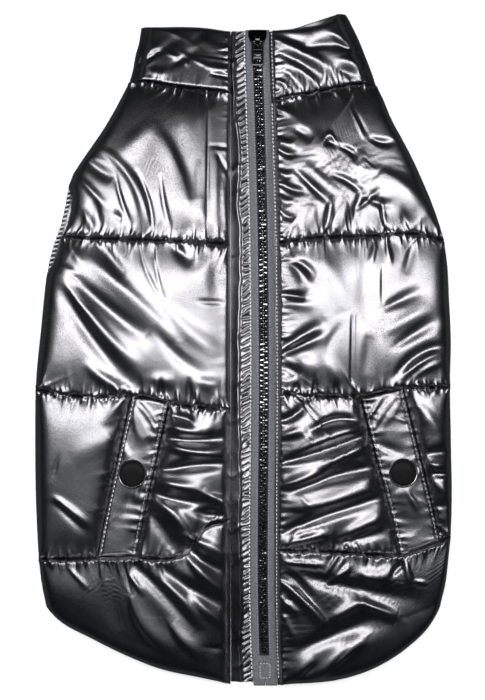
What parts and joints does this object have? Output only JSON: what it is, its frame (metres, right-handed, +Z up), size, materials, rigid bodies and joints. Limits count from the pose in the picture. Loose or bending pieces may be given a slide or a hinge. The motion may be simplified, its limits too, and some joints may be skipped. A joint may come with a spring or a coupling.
{
  "type": "dog puffer coat",
  "caption": "Padded, quilted pet coat with a stand-up collar, full-length back zip, leg openings and snapped pocket strips, lying flat.",
  "frame": {"origin": "under the middle of the coat's outline, on the surface it lies on", "axes": "+Y from the hem towards the collar, +X to the right seen from above, +Z up, away from the surface"},
  "size_m": [0.225, 0.3634, 0.0216],
  "materials": {
    "shell": "metallic pewter woven shell, glossy",
    "tape": "matt woven zip tape",
    "teeth": "glossy moulded",
    "hardware": "black, semi-gloss"
  },
  "bodies": {
    "coat": {"back_left": "shell", "back_right": "shell", "belly": "shell", "collar": "shell", "zip_guard": "shell", "pocket_welt_left": "shell", "pocket_welt_right": "shell", "zip_tape_left": "tape", "zip_tape_right": "tape", "zip_teeth_left": "teeth", "zip_teeth_right": "teeth", "zip_slider": "hardware", "snap_left": "hardware", "snap_right": "hardware"},
    "pull": {"zip_pull": "hardware"}
  },
  "joints": [
    {"name": "pull_hinge", "type": "hinge", "parent": "coat", "child": "pull", "pos_m": [0.0076, 0.1666, 0.01055], "axis": [-1, 0, 0], "range_deg": [0, 170]}
  ]
}
